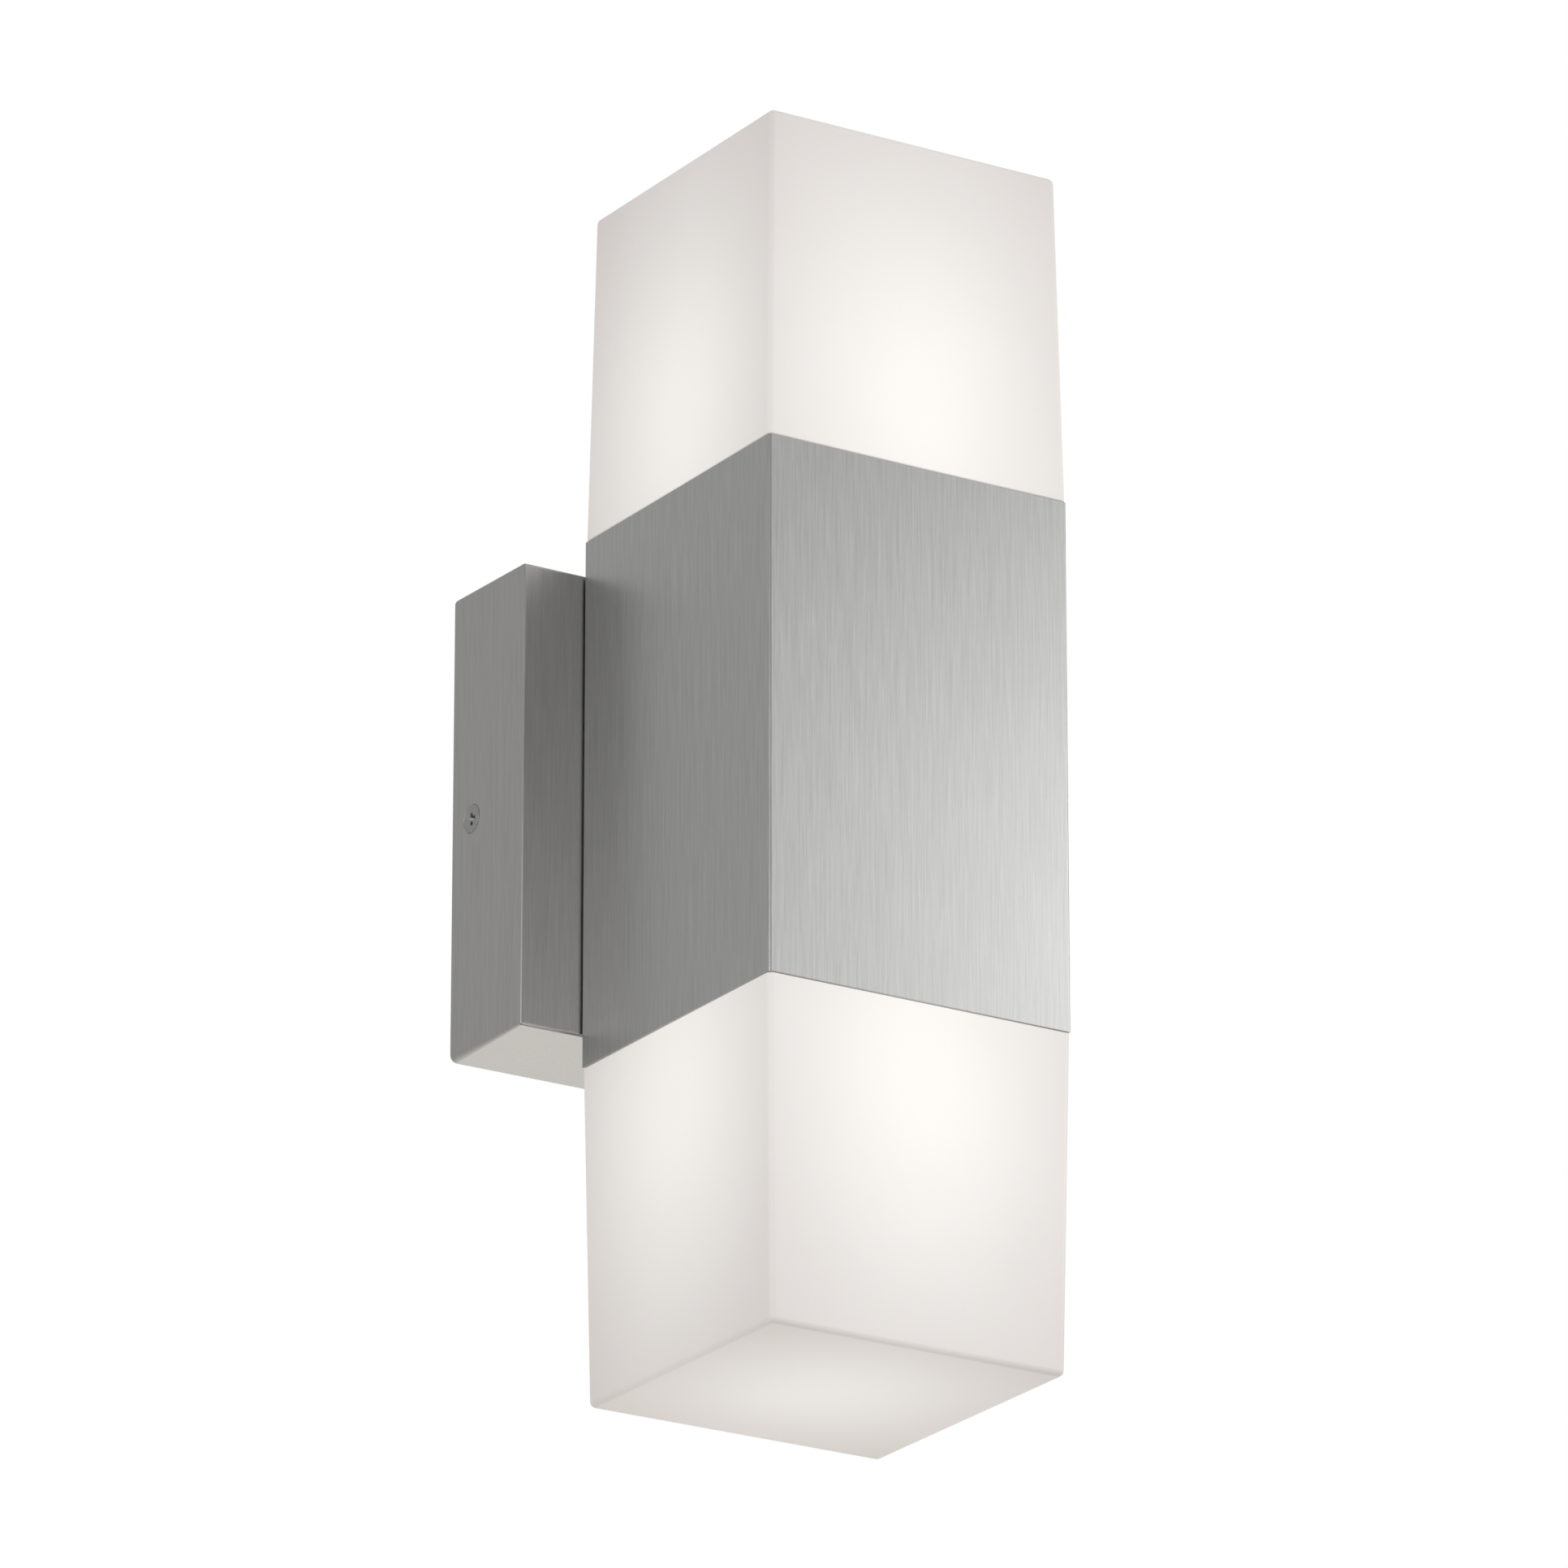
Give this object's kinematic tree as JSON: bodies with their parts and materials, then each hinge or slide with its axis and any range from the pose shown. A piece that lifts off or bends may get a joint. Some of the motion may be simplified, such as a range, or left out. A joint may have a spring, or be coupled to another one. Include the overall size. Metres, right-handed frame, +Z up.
{
  "type": "outdoor wall lantern",
  "caption": "Up-and-down wall lantern: a square brushed-metal tube on a square canopy, with a square opal glass shade screwed into each end over a screw-base lamp.",
  "frame": {"origin": "on the wall plane, behind the middle of the lantern", "axes": "+Z up along the tube, +Y into the wall, -Y out towards the viewer, +X to the right of someone facing the wall"},
  "size_m": [0.162, 0.1578, 0.4126],
  "materials": {
    "brushed_aluminium": "brushed along the height",
    "canopy_aluminium": "satin, lightly brushed",
    "opal_glass": "opal white, etched matte outside",
    "zinc_steel": "zinc plated",
    "die_cast": "as cast",
    "porcelain": "glazed",
    "brass": "plain",
    "solder": "plain",
    "black_glass": "gloss",
    "lamp_glass": "frosted white",
    "foam_rubber": "closed-cell foam",
    "silicone": "soft, translucent white",
    "black_wire": "insulation",
    "white_wire": "insulation",
    "green_wire": "insulation",
    "connector_plastic": "moulded",
    "green_steel": "green plated"
  },
  "bodies": {
    "housing": {"body_tube": "brushed_aluminium", "canopy": "canopy_aluminium", "joint_gasket": "foam_rubber", "wall_gasket": "foam_rubber", "wall_bracket": "zinc_steel", "side_screws": "zinc_steel", "nipple": "brass", "nipple_washers": "zinc_steel", "nipple_nuts": "brass", "tube_screws": "zinc_steel", "tube_nuts": "zinc_steel", "bridge_screws": "zinc_steel", "ground_screw": "green_steel", "lamp_bridge": "zinc_steel", "wire_connectors": "connector_plastic", "ground_terminals": "brass", "ground_lead": "green_wire", "upper_shade_holder": "die_cast", "upper_holder_screws": "zinc_steel", "upper_socket": "porcelain", "upper_socket_shell": "brass", "upper_socket_contact": "brass", "upper_socket_screws": "zinc_steel", "upper_black_lead": "black_wire", "upper_white_lead": "white_wire", "lower_shade_holder": "die_cast", "lower_holder_screws": "zinc_steel", "lower_socket": "porcelain", "lower_socket_shell": "brass", "lower_socket_contact": "brass", "lower_socket_screws": "zinc_steel", "lower_black_lead": "black_wire", "lower_white_lead": "white_wire"},
    "upper_seal": {"upper_shade_gasket": "silicone"},
    "upper_shade": {"upper_shade": "opal_glass"},
    "upper_lamp_contact": {"upper_lamp_tip": "solder"},
    "upper_lamp": {"upper_lamp_cap": "brass", "upper_lamp_globe": "lamp_glass", "upper_lamp_insulator": "black_glass"},
    "lower_seal": {"lower_shade_gasket": "silicone"},
    "lower_shade": {"lower_shade": "opal_glass"},
    "lower_lamp_contact": {"lower_lamp_tip": "solder"},
    "lower_lamp": {"lower_lamp_cap": "brass", "lower_lamp_globe": "lamp_glass", "lower_lamp_insulator": "black_glass"}
  },
  "joints": [
    {"name": "upper_shade_travel", "type": "slide", "parent": "housing", "child": "upper_seal", "axis": [0, 0, 1], "range_m": [0, 0.012]},
    {"name": "upper_shade_turn", "type": "hinge", "parent": "upper_seal", "child": "upper_shade", "pos_m": [0, -0.10065, 0.09], "axis": [0, 0, 1], "range_deg": [0, 720]},
    {"name": "upper_lamp_travel", "type": "slide", "parent": "housing", "child": "upper_lamp_contact", "axis": [0, 0, 1], "range_m": [0, 0.0258]},
    {"name": "upper_lamp_turn", "type": "hinge", "parent": "upper_lamp_contact", "child": "upper_lamp", "pos_m": [0, -0.10065, 0.09], "axis": [0, 0, 1], "range_deg": [0, 2520]},
    {"name": "lower_shade_travel", "type": "slide", "parent": "housing", "child": "lower_seal", "axis": [0, 0, -1], "range_m": [0, 0.012]},
    {"name": "lower_shade_turn", "type": "hinge", "parent": "lower_seal", "child": "lower_shade", "pos_m": [0, -0.10065, -0.09], "axis": [0, 0, -1], "range_deg": [0, 720]},
    {"name": "lower_lamp_travel", "type": "slide", "parent": "housing", "child": "lower_lamp_contact", "axis": [0, 0, -1], "range_m": [0, 0.0258]},
    {"name": "lower_lamp_turn", "type": "hinge", "parent": "lower_lamp_contact", "child": "lower_lamp", "pos_m": [0, -0.10065, -0.09], "axis": [0, 0, -1], "range_deg": [0, 2520]}
  ],
  "couplings": [
    {"joint": "upper_shade_travel", "follows": "upper_shade_turn", "m_per_rad": 0.00095493},
    {"joint": "upper_lamp_travel", "follows": "upper_lamp_turn", "m_per_rad": 0.00057773},
    {"joint": "lower_shade_travel", "follows": "lower_shade_turn", "m_per_rad": 0.00095493},
    {"joint": "lower_lamp_travel", "follows": "lower_lamp_turn", "m_per_rad": 0.00057773}
  ]
}
